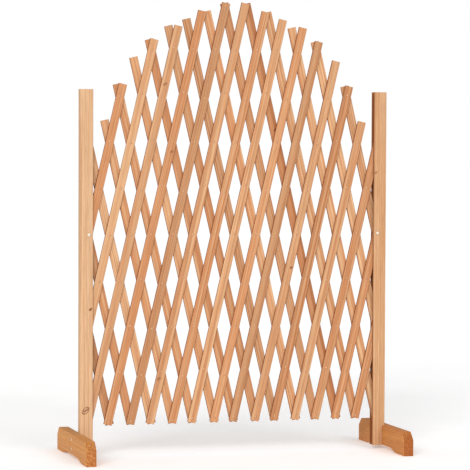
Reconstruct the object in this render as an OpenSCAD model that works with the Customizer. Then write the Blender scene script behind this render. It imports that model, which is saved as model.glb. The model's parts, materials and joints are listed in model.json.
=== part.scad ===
// Expanding plant trellis: an arched lattice of riveted laths that opens and closes
// like a scissor, its sides sliding in grooves in two posts, each post let into a cross foot.
// Sizes are in millimetres. X runs across the panel, -Y is the front and Z is up.
// The origin is on the ground, midway between the posts and midway along the feet.

/* [Lattice] */
// Distance between neighbouring rivets along a lath
rivet_pitch = 132; // [115:1:145]
// Angle of the laths from upright as the panel stands
lath_lean = 13.1; // [10:0.1:22]
// Full diamonds between the two posts
bays = 14; // [8:1:14]
// Rows of rivets below the post pivots
rows_below = 4; // [2:2:4]
// Width of a lath
lath_w = 23.5; // [18:0.5:28]
// Thickness of a lath
lath_t = 6; // [4:0.5:9]
// Chamfer along the long edges of a lath
lath_ease = 0.8; // [0.3:0.1:1.5]
// Length of a lath past its outermost rivet
lath_overhang = 12; // [11:0.5:14]
// Amount by which the spaces between the middle laths are by turns wider and narrower
lath_set_off = 4; // [0:0.5:4]
// Height of the lowest lath tips above the ground
ground_gap = 86; // [82:1:120]

/* [Arch] */
// Height of the arch's springing points above the post pivots
arch_spring = 316; // [270:1:340]
// Rise of the arch from its springing points to its crown
arch_rise = 338; // [300:1:380]
// Distance of the springing points inside the post pivots
arch_inset = 81; // [60:1:100]
// Fullness of the arch's shoulders, as the root that its curve follows
arch_fullness = 3; // [2:0.1:4]
// Height above the arch up to which two crossing laths are cut level
level_reach = 28; // [20:1:36]

/* [Posts] */
// Width of a post across the panel
post_w = 36.5; // [34:0.5:45]
// Depth of a post from front to back
post_d = 26; // [23:0.5:35]
// Height of the post tops above the ground
post_top = 1015; // [960:1:1150]
// Chamfer along the upright edges of a post
post_ease = 1.5; // [0.5:0.1:3]
// Distance of a post's centre line outside its pivot
post_offset = 6.5; // [5:0.5:8]
// Reach of a post's groove past its pivot
groove_reach = 17; // [16.5:0.5:20]

/* [Feet] */
// Length of a foot from front to back
foot_len = 390; // [340:1:460]
// Thickness of a foot board
foot_t = 28; // [20:0.5:36]
// Depth of the housing that takes a post in the inner face of a foot
foot_housing = 7; // [4:0.5:10]
// Height of a foot at its middle
foot_h = 66; // [58:0.5:90]
// Height of a foot's upright end faces
foot_end_h = 45; // [30:0.5:50]
// Length of the bevel at each top corner of a foot
foot_bevel = 22; // [10:0.5:40]
// Length of the pad under each end of a foot
foot_pad = 62; // [40:1:80]
// Height of the arch under a foot
foot_arch_h = 10; // [6:0.5:16]
// Length of the curve from a pad up to the top of the arch
foot_curve = 62; // [30:1:75]

/* [Rivets] */
// Diameter of a rivet's shank
rivet_d = 4; // [3:0.1:5]
// Diameter of a rivet's heads
rivet_head_d = 7; // [6:0.1:9]
// Height of a rivet's heads
rivet_head_h = 1.2; // [0.8:0.05:1.5]
// Height of the straight rim of a rivet's heads
rivet_rim_h = 0.4; // [0.2:0.05:0.6]
// Diameter of the flat on a rivet's heads
rivet_flat_d = 3.6; // [2.5:0.1:5]
// Least distance from a rivet's centre to the end of a lath
rivet_edge = 7; // [6:0.5:7.5]

/* [Post bolts] */
// Diameter of a pivot bolt
bolt_d = 6; // [5:0.1:8]
// Diameter of a pivot bolt's round head
bolt_head_d = 11; // [10:0.1:14]
// Height of a pivot bolt's round head
bolt_head_h = 3; // [2:0.1:4]
// Diameter of the flat on a pivot bolt's head
bolt_flat_d = 6; // [4:0.1:8]
// Length of a pivot bolt past its nut
bolt_tail = 2; // [1:0.1:6]
// Width of a pivot nut across its flats
nut_af = 10; // [10:0.1:13]
// Height of a pivot nut
nut_h = 5; // [4:0.1:7]
// Outer diameter of the washers on a pivot bolt
washer_d = 18; // [14:0.5:24]
// Thickness of the spacing washers between the laths and the walls of a post's groove
spacer_t = 1.6; // [1.5:0.05:2.5]
// Thickness of the washer under a pivot nut
washer_t = 1.2; // [0.8:0.1:2]

/* [Foot screws] */
// Diameter of a foot screw
screw_d = 4.5; // [3.5:0.1:6]
// Length of a foot screw
screw_len = 28; // [26:0.5:28.5]
// Diameter of a foot screw's countersunk head
screw_head_d = 8.5; // [7:0.1:11]
// Height of a foot screw's countersunk head
screw_head_h = 3; // [2:0.1:4]
// Length of a foot screw's point
screw_point = 6; // [3:0.5:10]
// Height of the lower foot screw above the ground
screw_z = 25; // [20:0.5:30]
// Distance between the two screws of a foot
screw_gap = 26; // [14:0.5:28]

/* [Clearances] */
// Radial clearance of a rivet or bolt that turns in a lath
running_clearance = 0.08; // [0.02:0.01:0.1]
// Radial clearance round a fastener that is fixed in its hole
fixed_clearance = 0.05; // [0.02:0.01:0.1]
// Gap between the front and back layers of laths
layer_gap = 0.3; // [0.2:0.05:0.6]
// Gap between a rivet's tail and the back lath
tail_gap = 0.1; // [0.05:0.05:0.3]

/* [Hidden] */
$fn = 48;
curve_steps = 10;
arch_steps = 16;
cut_over = 1;

lath_colour = [0.80, 0.54, 0.34];
back_lath_colour = [0.74, 0.48, 0.29];
post_colour = [0.85, 0.66, 0.47];
foot_colour = [0.76, 0.52, 0.30];
rivet_colour = [0.62, 0.43, 0.26];
steel_colour = [0.75, 0.75, 0.74];

// Spacing of the rivets across and up the panel
half_pitch = rivet_pitch * sin(lath_lean);
row_pitch = rivet_pitch * cos(lath_lean);
half_pitches = 2 * bays;
lath_count = bays + rows_below / 2;
panel_w = half_pitches * half_pitch;

// Heights of the post pivots
tip_drop = lath_overhang * cos(lath_lean) + lath_w / 2 * sin(lath_lean);
pivot_z = ground_gap + tip_drop + rows_below * row_pitch;

// Front faces of the layers and the back of the rear one, midway through the posts
lattice_t = 2 * lath_t + layer_gap + tail_gap;
front_y = -lattice_t / 2;
back_y = front_y + lath_t + layer_gap;
rear_y = back_y + lath_t;
groove_w = lattice_t + 2 * spacer_t;

// Centres and outer faces of the posts, measured from the middle of the panel
post_x = panel_w / 2 + post_offset;
post_outer_x = post_x + post_w / 2;
foot_outer_x = post_outer_x + foot_t - foot_housing;

rivet_hole_d = rivet_d + 2 * running_clearance;
bolt_hole_d = bolt_d + 2 * running_clearance;
bolt_fixed_d = bolt_d + 2 * fixed_clearance;
screw_fixed_d = screw_d + 2 * fixed_clearance;
nut_corner_d = nut_af / cos(30);

function numbered(name, i) = str(name, i < 10 ? "_0" : "_", i);
function numbered_all(name) = [for (i = [1 : lath_count]) numbered(name, i)];

// Columns, in half pitches from the left pivot, where the laths cross the row of the pivots
function front_column(i) = 2 * (i - 1);
function back_column(i) = 2 * i - rows_below;
front_columns = [for (i = [1 : lath_count]) front_column(i)];
back_columns = [for (i = [1 : lath_count]) back_column(i)];
function column_x(column) = column * half_pitch - panel_w / 2;

// Places of the laths on that row; those that reach a post are even, and the others
// are set off by turns to the right and to the left
function reaches_post(column) = column <= rows_below || column >= half_pitches - rows_below;
function set_off(column) =
    reaches_post(column) ? 0 : (column / 2 % 2 == 0 ? lath_set_off : -lath_set_off) / 2;
function lath_x(column) = column_x(column) + set_off(column);

// Distance along two laths from the row of the pivots to their crossing
function crossing(front, back) = (lath_x(back) - lath_x(front)) / (2 * sin(lath_lean));

// Height of the arch above the pivots, falling from the crown to the springing points
arch_half_w = panel_w / 2 - arch_inset;
function arch_height(x) =
    arch_spring + arch_rise * pow(max(0, 1 - abs(x) / arch_half_w), 1 / arch_fullness);

// Distance along a lath from the row of the pivots to the arch, found in steps;
// side is 1 for a front lath and -1 for a back one
function arch_meets(x, side, place = 0, steps = arch_steps) =
    steps == 0
        ? place
        : let (height = arch_height(x + side * place * sin(lath_lean)))
          arch_meets(x, side, height / cos(lath_lean), steps - 1);

// Height of the arch over the even place of a crossing
function arch_over(front, back) = arch_height(column_x((front + back) / 2));

// A crossing is in reach of the arch if it is not too far above it
function in_reach(front, back) =
    (back - front) / 2 * row_pitch <= arch_over(front, back) + level_reach;

// Two laths are cut level at the last crossing in reach along the one that leans to the middle
function cut_level(front, back) =
    in_reach(front, back)
    && !(front + back < half_pitches ? in_reach(front, back + 2) : in_reach(front - 2, back));
function top_end(heights, alone) = len(heights) > 0 ? max(heights) / cos(lath_lean) : alone;

// Ends of the laths, as distances along them from the row of the pivots
function low_end(from_side) = max(-rows_below, -from_side) * rivet_pitch - lath_overhang;
function side_end(from_side) = from_side * rivet_pitch + lath_overhang;
function front_low(column) = low_end(column);
function back_low(column) = low_end(half_pitches - column);
function front_high(column) =
    let (level = [for (back = back_columns) if (cut_level(column, back)) arch_over(column, back)])
    min(top_end(level, arch_meets(lath_x(column), 1)), side_end(half_pitches - column));
function back_high(column) =
    let (level = [for (front = front_columns) if (cut_level(front, column)) arch_over(front, column)])
    min(top_end(level, arch_meets(lath_x(column), -1)), side_end(column));

// A crossing is riveted where both laths reach far enough past it
function is_pivot(column) = column == 0 || column == half_pitches;
function inside(place, low, high) = place - low >= rivet_edge && high - place >= rivet_edge;
function riveted(front, back) =
    inside(crossing(front, back), front_low(front), front_high(front))
    && inside(crossing(front, back), back_low(back), back_high(back))
    && !(front == back && is_pivot(front));
function front_holes(front) =
    [for (back = back_columns) if (riveted(front, back)) crossing(front, back)];
function back_holes(back) =
    [for (front = front_columns) if (riveted(front, back)) crossing(front, back)];

// Board section with chamfered edges, from y = 0 to y = depth
module eased_section(width, depth, ease) {
    half = width / 2;
    polygon([
        [-half + ease, 0],
        [half - ease, 0],
        [half, ease],
        [half, depth - ease],
        [half - ease, depth],
        [-half + ease, depth],
        [-half, depth - ease],
        [-half, ease]
    ]);
}

// Turns a shape drawn along Z so that it runs from the front to the back
module to_back() {
    rotate([-90, 0, 0]) children();
}

// Hole along Y through the whole depth
module hole(diameter, depth) {
    translate([0, -cut_over, 0]) to_back() cylinder(d = diameter, h = depth + 2 * cut_over);
}

// Lath along Z, with its rivet holes and a bolt hole where it turns on a post
module lath(low, high, holes, has_pivot) {
    difference() {
        translate([0, 0, low]) linear_extrude(high - low) eased_section(lath_w, lath_t, lath_ease);
        for (place = holes) translate([0, 0, place]) hole(rivet_hole_d, lath_t);
        if (has_pivot) hole(bolt_hole_d, lath_t);
    }
}

module front_lath(i) {
    column = front_column(i);
    color(lath_colour)
        translate([lath_x(column), front_y, pivot_z])
        rotate([0, lath_lean, 0])
        lath(front_low(column), front_high(column), front_holes(column), is_pivot(column));
}

module back_lath(i) {
    column = back_column(i);
    color(back_lath_colour)
        translate([lath_x(column), back_y, pivot_z])
        rotate([0, -lath_lean, 0])
        lath(back_low(column), back_high(column), back_holes(column), is_pivot(column));
}

// Rivet with its front head on y = 0 and its tail behind both layers
module rivet() {
    grip = rear_y - front_y + tail_gap;
    to_back() rotate_extrude() polygon([
        [0, -rivet_head_h],
        [rivet_flat_d / 2, -rivet_head_h],
        [rivet_head_d / 2, -rivet_rim_h],
        [rivet_head_d / 2, 0],
        [rivet_d / 2, 0],
        [rivet_d / 2, grip],
        [rivet_head_d / 2, grip],
        [rivet_head_d / 2, grip + rivet_rim_h],
        [rivet_flat_d / 2, grip + rivet_head_h],
        [0, grip + rivet_head_h]
    ]);
}

// All the rivets that stay with one front lath
module rivets(i) {
    column = front_column(i);
    color(rivet_colour)
        translate([lath_x(column), front_y, pivot_z])
        rotate([0, lath_lean, 0])
        for (place = front_holes(column)) translate([0, 0, place]) rivet();
}

// Places a piece at the left pivot, or mirrors it to the right one
module at_side(side) {
    if (side < 0) children();
    else mirror([1, 0, 0]) children();
}

// Heights of the screws that hold a foot to its post
screw_heights = [screw_z, screw_z + screw_gap];

// Groove in a post, open on its inner side and at both ends
module groove() {
    translate([-panel_w / 2 - groove_reach, -groove_w / 2, 0])
        cube([groove_reach + post_w, groove_w, post_top + cut_over]);
}

module post(side) {
    color(post_colour) at_side(side) difference() {
        translate([-post_x, -post_d / 2, foot_arch_h])
            linear_extrude(post_top - foot_arch_h)
            eased_section(post_w, post_d, post_ease);
        groove();
        translate([-panel_w / 2, -post_d / 2, pivot_z]) hole(bolt_fixed_d, post_d);
        for (z = screw_heights)
            translate([-foot_outer_x, 0, z])
            rotate([0, 90, 0])
            cylinder(d = screw_fixed_d, h = screw_len + cut_over);
    }
}

// Half of the outline under a foot, from the front pad to the middle of the arch
function foot_curve_points() =
    [for (k = [0 : curve_steps])
        let (t = k / curve_steps)
        [-foot_len / 2 + foot_pad + t * foot_curve, foot_arch_h * (1 - cos(180 * t)) / 2]];
function reversed(points) = [for (k = [len(points) - 1 : -1 : 0]) points[k]];
function flipped(points) = [for (point = points) [-point[0], point[1]]];
function foot_outline() = concat(
    [[-foot_len / 2, 0]],
    foot_curve_points(),
    flipped(reversed(foot_curve_points())),
    [
        [foot_len / 2, 0],
        [foot_len / 2, foot_end_h],
        [foot_len / 2 - foot_bevel, foot_h],
        [-foot_len / 2 + foot_bevel, foot_h],
        [-foot_len / 2, foot_end_h]
    ]
);

module foot(side) {
    color(foot_colour) at_side(side) difference() {
        translate([-foot_outer_x, 0, 0])
            rotate([90, 0, 90])
            linear_extrude(foot_t)
            polygon(foot_outline());
        housing();
        for (z = screw_heights) translate([-foot_outer_x, 0, z]) screw_hole();
    }
}

// Housing for a post in the inner face of a foot
module housing() {
    housing_w = post_d + 2 * fixed_clearance;
    translate([-post_outer_x, -housing_w / 2, -cut_over])
        cube([foot_housing + cut_over, housing_w, foot_h + 2 * cut_over]);
}

// Hole along X for a foot screw, with its countersink at x = 0
module screw_hole() {
    rotate([0, 90, 0]) {
        translate([0, 0, -cut_over]) cylinder(d = screw_fixed_d, h = screw_len + 2 * cut_over);
        cylinder(
            d1 = screw_head_d + 2 * fixed_clearance,
            d2 = screw_fixed_d,
            h = screw_head_h
        );
    }
}

module foot_screws(side) {
    color(steel_colour) at_side(side)
        for (z = screw_heights)
        translate([-foot_outer_x, 0, z])
        rotate([0, 90, 0])
        rotate_extrude() polygon([
            [0, 0],
            [screw_head_d / 2, 0],
            [screw_d / 2, screw_head_h],
            [screw_d / 2, screw_len - screw_point],
            [0, screw_len]
        ]);
}

// Faces that the pieces on a pivot bolt lie against
rear_washer_y = post_d / 2;
nut_y = rear_washer_y + washer_t;
bolt_len = post_d + washer_t + nut_h + bolt_tail;

module pivot_bolt(side) {
    color(steel_colour) at_side(side)
        translate([-panel_w / 2, -post_d / 2, pivot_z])
        to_back() rotate_extrude() polygon([
            [0, -bolt_head_h],
            [bolt_flat_d / 2, -bolt_head_h],
            [bolt_head_d / 2, 0],
            [bolt_d / 2, 0],
            [bolt_d / 2, bolt_len],
            [0, bolt_len]
        ]);
}

module washer(thickness) {
    to_back() difference() {
        cylinder(d = washer_d, h = thickness);
        translate([0, 0, -cut_over]) cylinder(d = bolt_fixed_d, h = thickness + 2 * cut_over);
    }
}

module pivot_washers(side) {
    color(steel_colour) at_side(side) {
        translate([-panel_w / 2, front_y - spacer_t, pivot_z]) washer(spacer_t);
        translate([-panel_w / 2, rear_y + tail_gap, pivot_z]) washer(spacer_t);
        translate([-panel_w / 2, rear_washer_y, pivot_z]) washer(washer_t);
    }
}

module pivot_nut(side) {
    color(steel_colour) at_side(side)
        translate([-panel_w / 2, nut_y, pivot_z])
        to_back() difference() {
            cylinder(d = nut_corner_d, h = nut_h, $fn = 6);
            translate([0, 0, -cut_over]) cylinder(d = bolt_fixed_d, h = nut_h + 2 * cut_over);
        }
}

post(-1);  // left_post
post(1);  // right_post
foot(-1);  // left_foot
foot(1);  // right_foot
foot_screws(-1);  // left_foot_screws
foot_screws(1);  // right_foot_screws
pivot_bolt(-1);  // left_pivot_bolt
pivot_bolt(1);  // right_pivot_bolt
pivot_washers(-1);  // left_pivot_washers
pivot_washers(1);  // right_pivot_washers
pivot_nut(-1);  // left_pivot_nut
pivot_nut(1);  // right_pivot_nut
for (i = [1 : lath_count]) {
    front_lath(i);
    back_lath(i);
    rivets(i);
}
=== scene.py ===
"""Expanding plant trellis: the finished boards, rivets and fasteners of an arched lattice on two posts."""

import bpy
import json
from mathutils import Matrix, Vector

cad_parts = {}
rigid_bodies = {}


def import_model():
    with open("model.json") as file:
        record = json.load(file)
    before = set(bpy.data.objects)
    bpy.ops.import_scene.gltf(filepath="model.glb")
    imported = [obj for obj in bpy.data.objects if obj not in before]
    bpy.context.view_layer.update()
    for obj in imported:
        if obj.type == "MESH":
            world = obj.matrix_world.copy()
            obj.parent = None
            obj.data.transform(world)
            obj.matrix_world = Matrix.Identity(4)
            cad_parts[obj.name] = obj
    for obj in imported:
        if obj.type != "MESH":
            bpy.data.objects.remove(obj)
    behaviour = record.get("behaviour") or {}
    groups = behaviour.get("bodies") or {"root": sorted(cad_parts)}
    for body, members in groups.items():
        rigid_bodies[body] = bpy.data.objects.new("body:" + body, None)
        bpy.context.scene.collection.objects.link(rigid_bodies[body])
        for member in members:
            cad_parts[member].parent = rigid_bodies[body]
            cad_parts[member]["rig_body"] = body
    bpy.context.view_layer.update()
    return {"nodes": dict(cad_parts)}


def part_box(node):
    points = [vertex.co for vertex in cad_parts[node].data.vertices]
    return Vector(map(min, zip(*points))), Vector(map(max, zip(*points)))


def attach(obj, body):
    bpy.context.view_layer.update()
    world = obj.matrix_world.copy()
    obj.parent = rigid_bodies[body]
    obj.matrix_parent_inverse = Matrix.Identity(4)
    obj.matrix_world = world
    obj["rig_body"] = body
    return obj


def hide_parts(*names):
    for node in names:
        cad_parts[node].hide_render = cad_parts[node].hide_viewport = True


bl_info = {
    "name": "Expanding Plant Trellis",
    "version": (1, 0, 0),
    "blender": (4, 5, 0),
    "location": "View3D > Sidebar > Trellis",
    "description": "Models and finishes the boards and fasteners of an expanding plant trellis",
    "category": "Object",
}

import json
import math
import random

import bmesh
import bpy
from bpy.props import FloatProperty, FloatVectorProperty, IntProperty, PointerProperty
from bpy.types import NodeSocket, Operator, Panel, PropertyGroup
from mathutils import Matrix, Vector, noise

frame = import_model()

MM = 0.001
TINY = 0.001 * MM
SIDES = ("left", "right")
INWARD = {"left": 1, "right": -1}
LATHS = [f"{layer}_lath_{i:02d}" for layer in ("front", "back") for i in range(1, 17)]
RIVET_ROWS = [f"rivets_{i:02d}" for i in range(1, 17)]

# Knots of the boards: height above the ground, distance right of the middle, and radius
KNOTS = {
    "left_post": [(131 * MM, -2 * MM, 9 * MM), (410 * MM, 11 * MM, 3.6 * MM)],
    "right_post": [(787 * MM, -13 * MM, 4.2 * MM)],
    "front_lath_03": [(1031 * MM, -1 * MM, 4.5 * MM)],
    "front_lath_04": [(845 * MM, 4 * MM, 4 * MM)],
    "front_lath_06": [(213 * MM, -4 * MM, 4.5 * MM)],
    "front_lath_11": [(520 * MM, 5 * MM, 3 * MM)],
    "back_lath_05": [(330 * MM, -3 * MM, 4 * MM)],
    "back_lath_12": [(905 * MM, 3 * MM, 3.5 * MM)],
}

# Tones of the boards that are alike in every build: share of the warm stain, share of the deep stain,
# and how much more of the deep stain the sawn ends soak up
TONES = {
    "left_post": (0.15, 0.0, 0.0),
    "right_post": (0.6, 0.1, 0.0),
    "left_foot": (0.4, 0.04, 0.0),
    "right_foot": (0.75, 0.12, 0.4),
}

# Root of the largest share of the deep stain on a lath
DEEPEST_TONE = 0.8

# Spacing of the growth rings in each kind of board, and how dark their late wood is
RINGS = {"lath": (2.6 * MM, 0.5), "post": (3.4 * MM, 0.5), "foot": (3.8 * MM, 0.3)}

# Place of a board's middle from the pith of its tree, in millimetres: most aside, least and most behind;
# and the metres of trunk that the boards may come from
PITH_ASIDE = 40
PITH_BEHIND = (25, 80)
TREE_HEIGHT = 40.0

# Place and radius of a knot that is too far away to show
NO_KNOT = (1.0, 1 * MM, 1.0)

# How far a surface soaks up the deep stain: cuts across the grain, sawn ends,
# and rough sides, where a value past 1 also paints shade: the shade between the laths and in the posts'
# grooves
CUT_SOAK = 0.5
END_SOAK = 1.0
SIDE_SOAK_AND_SHADE = 1.5

# Changes of each noise in a metre: across, through and along a board, or along X, Y and Z;
# and the most that growth rings stray
WANDER_GRAIN = (22.0, 22.0, 1.6)
STREAK_GRAIN = (170.0, 170.0, 2.4)
FIBRE_GRAIN = (1100.0, 1100.0, 22.0)
KNOT_GRAIN = (400.0, 0.0, 400.0)
PATCH_GRAIN = (420.0, 420.0, 420.0)
SCRATCH_GRAIN = (2600.0, 500.0, 700.0)
MOTTLE_GRAIN = (3.0, 3.0, 3.0)
RING_WANDER = 8 * MM

# Changes in a metre of a board's bow, planing and nicks, the noise at which a nick starts,
# how far apart the sides of a board lie in the noise, and how far apart boards may lie in it
BOW_WAVES = 3.0
PLANING_WAVES = 25.0
NICK_WAVES = 60.0
NICK_START = 0.15
PLANING_ROWS = 5.0
NICK_ROWS = (9.0, 3.0)
BOARD_SPREAD = 100.0

# Depth of the fine relief of wood and metal, with how strongly it shows, and their shine
WOOD_RELIEF = (0.25 * MM, 0.5)
METAL_RELIEF = (0.05 * MM, 0.3)
WOOD_SHINE = 0.12
RIVET_DULLNESS = 0.2

# Least angle of a sharp edge, flat steps round an edge, least angle of a foot's corners,
# and steps of the curve under a foot
SHARP_ANGLE = math.radians(32)
EDGE_STEPS = 3
FOOT_CORNER = math.radians(20)
CURVE_STEPS = 12

# Most that a fastener's middle may lie beside the middle line of a lath that it goes through
HOLE_STRAY = 1 * MM

# Outlines of a rivet's head and tail, as shares of their radius and height
RIVET_DOME = [(0.0, 0.0), (0.5, 0.06), (0.84, 0.36), (1.0, 0.76), (0.97, 1.0)]
RIVET_TAIL = [(0.96, 0.0), (1.0, 0.3), (0.84, 0.82), (0.6, 1.0), (0.42, 0.7), (0.0, 0.4)]

# Bolts: steps and height of the head's dome, depth of the thread, places of its root and crest in a turn,
# and chamfer of the end, inward and along
DOME_STEPS = 6
DOME_SHARE = 0.86
THREAD_DEPTH = 0.35 * MM
THREAD_PLACES = (0.1, 0.6)
BOLT_CHAMFER = (0.4 * MM, 0.2 * MM)

# Washers and nuts: play round the bolt, share of a washer's height that is softened, and a nut's chamfer
BORE_PLAY = 0.05 * MM
WASHER_SOFTNESS = 0.2
NUT_SIDES = 6
NUT_CHAMFER = math.radians(30)
NUT_LIP = 0.3 * MM
NUT_FACE = 0.2 * MM

# Screws: share of the core in the shank, rim of the head, smooth neck, places along a turn of the thread
# with whether each is a crest, and the cross slot
SCREW_CORE = 0.68
SCREW_RIM = (0.1 * MM, 0.25 * MM)
SCREW_NECK = 4 * MM
SCREW_THREAD = ((0.3, False), (0.55, True), (0.8, False))
SLOT_SHARES = (1.15, 0.24)
SLOT_DEPTH = 3.2 * MM
SLOT_TAPER = (0.4, 0.7, 1.0)

# Directions in which the two soft lights shine
LEFT_LIGHT = (0.65, 1.0, -0.55)
RIGHT_LIGHT = (-0.35, 1.0, -0.55)

# Surface of the floor
FLOOR_ROUGHNESS = 0.9
FLOOR_SHINE = 0.1


def length_property(name, description, length):
    """A length that a user can change."""
    return FloatProperty(name=name, description=description, default=length, unit="LENGTH")


def angle_property(name, description, degrees):
    """An angle that a user can change."""
    return FloatProperty(name=name, description=description, default=math.radians(degrees), subtype="ANGLE")


def number_property(name, description, number):
    """A plain number that a user can change."""
    return FloatProperty(name=name, description=description, default=number)


def count_property(name, description, count):
    """A whole number that a user can change."""
    return IntProperty(name=name, description=description, default=count)


def colour_property(name, description, colour):
    """A colour that a user can change."""
    return FloatVectorProperty(
        name=name, description=description, default=(*colour, 1.0), size=4, subtype="COLOR", min=0.0, max=1.0
    )


class TrellisBoards(PropertyGroup):
    """Sizes of the wooden pieces that the frame does not hold."""

    lath_lean: angle_property("Lath Lean", "Angle of the laths from upright as the panel stands", 13.1)
    lath_edge: length_property("Lath Edge", "Rounding along the long edges of a lath", 0.9 * MM)
    post_edge: length_property("Post Edge", "Rounding along the long edges of a post", 1.8 * MM)
    foot_edge: length_property("Foot Edge", "Rounding along the edges of a foot", 1.5 * MM)
    sawn_edge: length_property("Sawn Edge", "Break of the edges round a sawn end", 0.35 * MM)
    section: length_property("Section", "Length of the sections in which a board can warp", 30 * MM)
    bow: length_property("Bow", "Most that a board strays sideways from straight", 0.5 * MM)
    planing: length_property("Planing", "Depth of the unevenness of a planed face", 0.12 * MM)
    nick: length_property("Nick", "Depth of the nicks along a handled edge", 0.5 * MM)
    saw_slant: angle_property("Saw Slant", "Most that a sawn end is out of square", 1.5)
    groove_reach: length_property("Groove Reach", "Reach of a post's groove past the pivot bolt", 17 * MM)
    housing_play: length_property(
        "Housing Play", "Gap between a post and the housing that takes it in a foot", 0.05 * MM
    )
    foot_end: length_property("Foot End", "Height of the upright end faces of a foot", 45 * MM)
    foot_bevel: length_property("Foot Bevel", "Length of the bevel at each top corner of a foot", 22 * MM)
    foot_pad: length_property("Foot Pad", "Length of the pad under each end of a foot", 62 * MM)
    foot_curve: length_property(
        "Foot Curve", "Length of the curve from a pad to the arch under a foot", 62 * MM
    )
    foot_arch: length_property("Foot Arch", "Height of the arch under a foot", 10 * MM)


class TrellisFasteners(PropertyGroup):
    """Sizes of the metal pieces that the frame does not hold."""

    rivet_shank: length_property("Rivet Shank", "Diameter of a rivet's shank", 4 * MM)
    rivet_head: length_property("Rivet Head", "Height of a rivet's heads", 1.2 * MM)
    rivet_play: length_property("Rivet Play", "Gap all round a rivet's shank in its hole", 0.08 * MM)
    rivet_sides: count_property("Rivet Sides", "Flat sides that make up a rivet's round", 14)
    bolt_shank: length_property("Bolt Shank", "Diameter of a pivot bolt's shank", 6 * MM)
    bolt_head: length_property("Bolt Head", "Height of a pivot bolt's domed head", 3 * MM)
    thread_pitch: length_property("Thread Pitch", "Distance between the threads of a pivot bolt", 1 * MM)
    thread_length: length_property("Thread Length", "Length of the threaded end of a pivot bolt", 12 * MM)
    screw_shank: length_property("Screw Shank", "Diameter of a foot screw over its threads", 4.5 * MM)
    screw_head: length_property("Screw Head", "Height of a foot screw's countersunk head", 3 * MM)
    screw_pitch: length_property("Screw Pitch", "Distance between the threads of a foot screw", 2.2 * MM)
    screw_point: length_property("Screw Point", "Length of a foot screw's point", 6 * MM)
    round_sides: count_property(
        "Round Sides", "Flat sides that make up the round of a bolt, washer or screw", 32
    )


class TrellisFinishes(PropertyGroup):
    """Colours of the stained woods and of the metals."""

    lath_pale: colour_property("Lath Pale", "Palest stain on the laths", (0.715, 0.433, 0.235))
    lath_warm: colour_property("Lath Warm", "Warmest stain on the laths", (0.585, 0.265, 0.12))
    lath_deep: colour_property("Lath Deep", "Deepest stain on the laths", (0.34, 0.115, 0.04))
    post_pale: colour_property("Post Pale", "Palest stain on the posts", (0.68, 0.43, 0.25))
    post_warm: colour_property("Post Warm", "Warmest stain on the posts", (0.59, 0.31, 0.15))
    post_deep: colour_property("Post Deep", "Deepest stain on the posts", (0.36, 0.15, 0.06))
    foot_pale: colour_property("Foot Pale", "Palest stain on the feet", (0.69, 0.335, 0.105))
    foot_warm: colour_property("Foot Warm", "Warmest stain on the feet", (0.62, 0.25, 0.075))
    foot_deep: colour_property("Foot Deep", "Deepest stain on the feet", (0.33, 0.095, 0.025))
    knot: colour_property("Knot", "Dark wood of the knots", (0.16, 0.052, 0.018))
    rivet: colour_property("Rivet", "Dulled brass of the rivets", (0.70, 0.41, 0.23))
    rivet_dark: colour_property("Rivet Dark", "Tarnish on the rivets", (0.55, 0.31, 0.16))
    zinc: colour_property("Zinc", "Warm plating of the bolts and screws", (0.84, 0.70, 0.54))
    zinc_dark: colour_property("Zinc Dark", "Dull patches of the plating", (0.64, 0.53, 0.41))
    floor: colour_property("Floor", "Pale floor", (0.98, 0.98, 0.98))
    backdrop: colour_property("Backdrop", "Light that fills the room", (1.0, 1.0, 1.0))


class TrellisStage(PropertyGroup):
    """Camera, lights and floor."""

    distance: length_property(
        "Distance", "Distance of the camera from the middle of the panel, along the floor", 6.551
    )
    bearing: angle_property(
        "Bearing", "Angle of the camera's place to the left of the panel's front", 15.8275
    )
    height: length_property("Height", "Height of the camera above the floor", 0.8625)
    heading: angle_property("Heading", "Direction of the camera, turned right from straight back", 15.838)
    tilt: angle_property("Tilt", "Angle of the camera below level", 2.193)
    roll: angle_property("Roll", "Turn of the camera about its own line of sight", 0.231)
    lens: number_property("Lens", "Focal length in millimetres on a sensor 36 mm wide", 179.42)
    ambient: number_property("Ambient", "Strength of the light that fills the room", 0.57)
    key_strength: number_property("Key Strength", "Strength of the soft light from the front left", 1.4)
    fill_strength: number_property("Fill Strength", "Strength of the soft light from the front right", 0.75)
    floor_glow: number_property("Floor Glow", "Strength of the light that comes up through the floor", 0.2)
    key_spread: angle_property("Key Spread", "Angle that each soft light fills", 24)
    floor_reach: length_property("Floor Reach", "Half the width of the floor", 60.0)


# Node trees


def add_node(tree, kind, inputs=None, **settings):
    """Adds a node with its settings, and gives its inputs values or links."""
    made = tree.nodes.new(kind)
    for key, value in settings.items():
        setattr(made, key, value)
    for key, value in (inputs or {}).items():
        if isinstance(value, NodeSocket):
            tree.links.new(value, made.inputs[key])
        else:
            made.inputs[key].default_value = value
    return made


def calculate(tree, operation, *values, clamp=False):
    """One sum on up to three values."""
    node = add_node(tree, "ShaderNodeMath", dict(enumerate(values)), operation=operation, use_clamp=clamp)
    return node.outputs[0]


def product(tree, first, *others):
    """Several values multiplied together."""
    for other in others:
        first = calculate(tree, "MULTIPLY", first, other)
    return first


def ease(tree, value, start, end, low=0.0, high=1.0):
    """Runs smoothly from low to high as a value goes from start to end."""
    inputs = {"Value": value, "From Min": start, "From Max": end, "To Min": low, "To Max": high}
    return add_node(tree, "ShaderNodeMapRange", inputs, interpolation_type="SMOOTHSTEP").outputs[0]


def blend(tree, share, first, second, mode="MIX"):
    """Mixes two colours, which are sockets 6 and 7 of the node, into its output 2."""
    inputs = {0: share, 6: first, 7: second}
    node = add_node(tree, "ShaderNodeMix", inputs, data_type="RGBA", blend_type=mode, clamp_factor=True)
    return node.outputs[2]


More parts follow.
